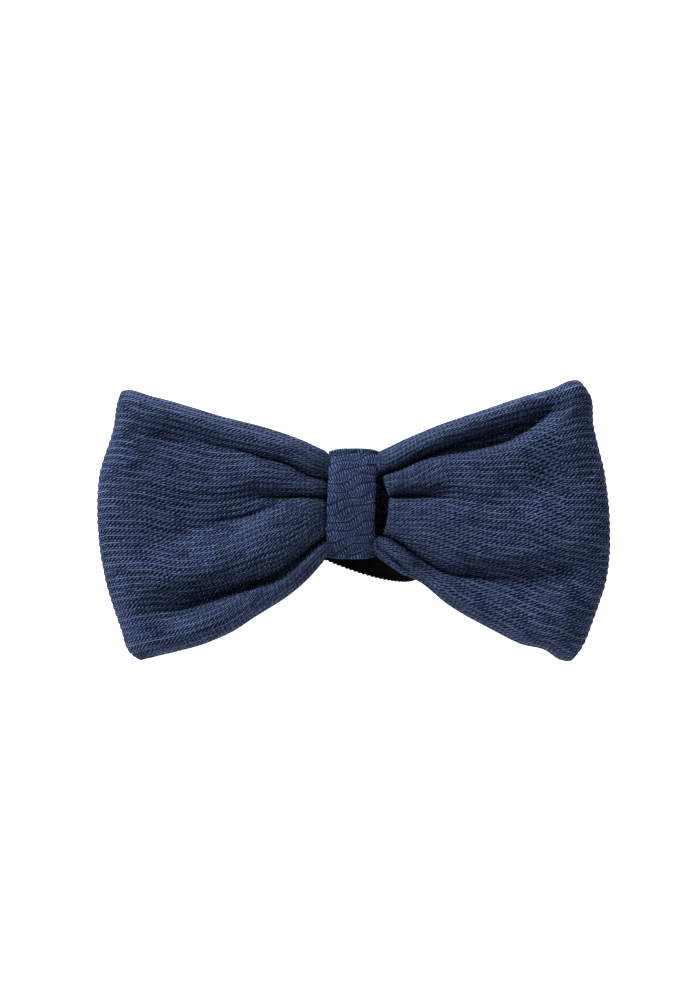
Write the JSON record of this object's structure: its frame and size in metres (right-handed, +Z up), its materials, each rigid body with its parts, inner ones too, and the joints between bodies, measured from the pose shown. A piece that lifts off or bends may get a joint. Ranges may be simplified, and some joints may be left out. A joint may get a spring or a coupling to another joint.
{
  "type": "hair bow",
  "caption": "Knitted fabric hair bow with gathered wings, a wrapped centre band and a flat elastic loop at the back that holds the hair.",
  "frame": {"origin": "the centre of the knot's flat back, where the bow lies against the gathered hair", "axes": "+X runs along the bow from the left wing to the right wing as seen from the front, +Y points backwards into the hair, +Z is up"},
  "size_m": [0.1148, 0.0555, 0.063],
  "materials": {
    "navy_knit": "ribbed cotton knit, matt with a soft sheen",
    "navy_thread": "sewing thread",
    "white_fleece": "soft needled fleece",
    "black_elastic": "ribbed knitted elastic, matt",
    "black_thread": "sewing thread"
  },
  "bodies": {
    "knot": {"centre_band": "navy_knit", "band_closing_stitches": "navy_thread", "gathered_waist": "navy_knit", "gathering_thread": "navy_thread", "elastic_end_left": "black_elastic", "elastic_end_right": "black_elastic", "splice_stitches": "black_thread"},
    "left_wing": {"left_wing": "navy_knit", "left_interlining": "white_fleece"},
    "right_wing": {"right_wing": "navy_knit", "right_interlining": "white_fleece"},
    "loop": {"elastic_leg_left": "black_elastic", "elastic_leg_right": "black_elastic"},
    "loop_back": {"elastic_back_span": "black_elastic"}
  },
  "joints": [
    {"name": "left_wing_flex", "type": "hinge", "parent": "knot", "child": "left_wing", "pos_m": [-0.0092, -0.00915, 0], "axis": [0, 0, 1], "range_deg": [-20, 40], "stiffness_Nm_per_rad": 0.02},
    {"name": "right_wing_flex", "type": "hinge", "parent": "knot", "child": "right_wing", "pos_m": [0.0092, -0.00915, 0], "axis": [0, 0, -1], "range_deg": [-20, 40], "stiffness_Nm_per_rad": 0.02},
    {"name": "loop_swing", "type": "hinge", "parent": "knot", "child": "loop", "pos_m": [0, 0.0051, 0], "axis": [1, 0, 0], "range_deg": [-50, 60], "stiffness_Nm_per_rad": 0.01},
    {"name": "loop_stretch", "type": "slide", "parent": "loop", "child": "loop_back", "axis": [0, 0.9488, -0.3159], "range_m": [0, 0.03], "stiffness_N_per_m": 60}
  ]
}
